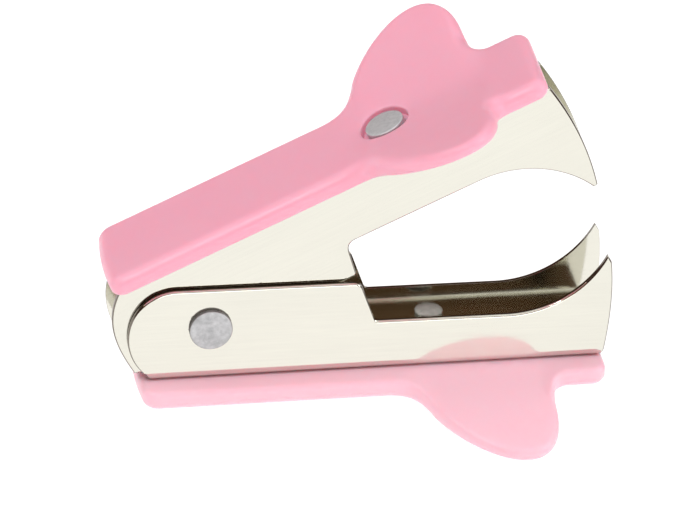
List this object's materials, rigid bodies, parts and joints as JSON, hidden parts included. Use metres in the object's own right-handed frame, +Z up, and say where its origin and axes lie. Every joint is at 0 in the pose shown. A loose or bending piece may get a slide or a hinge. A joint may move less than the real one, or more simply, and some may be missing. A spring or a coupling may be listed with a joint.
{
  "type": "jaw staple remover",
  "caption": "Jaw staple remover: two nested steel channel jaws with paired fangs on one pivot, sprung open, each with a moulded winged finger grip.",
  "frame": {"origin": "centre of the bottom of the bounding box: the plane the tool stands on, under the middle of its length and width", "axes": "+X towards the fangs, +Y along the pivot, +Z up; the tool stands on the rear end and the two wing tips of its lower grip, so the lower jaw points 4 degrees upwards"},
  "size_m": [0.0506, 0.03, 0.0369],
  "materials": {
    "plated_steel": "bright nickel plate, faint brushing along the jaw",
    "pink_plastic": "satin-gloss moulded plastic",
    "rivet_aluminium": "matte, tumbled",
    "spring_steel": "drawn wire"
  },
  "bodies": {
    "lower": {"lower_jaw": "plated_steel", "lower_pad": "pink_plastic", "lower_pad_rivet": "rivet_aluminium", "pivot_rivet": "rivet_aluminium", "torsion_spring": "spring_steel"},
    "upper": {"upper_jaw": "plated_steel", "upper_pad": "pink_plastic", "upper_pad_rivet": "rivet_aluminium"}
  },
  "joints": [
    {"name": "jaw_hinge", "type": "hinge", "parent": "lower", "child": "upper", "pos_m": [-0.01454, 0, 0.00841], "axis": [0, 1, 0], "range_deg": [0, 25], "stiffness_Nm_per_rad": 0.05, "springref_deg": -34.38, "deforming": ["torsion_spring"]}
  ]
}
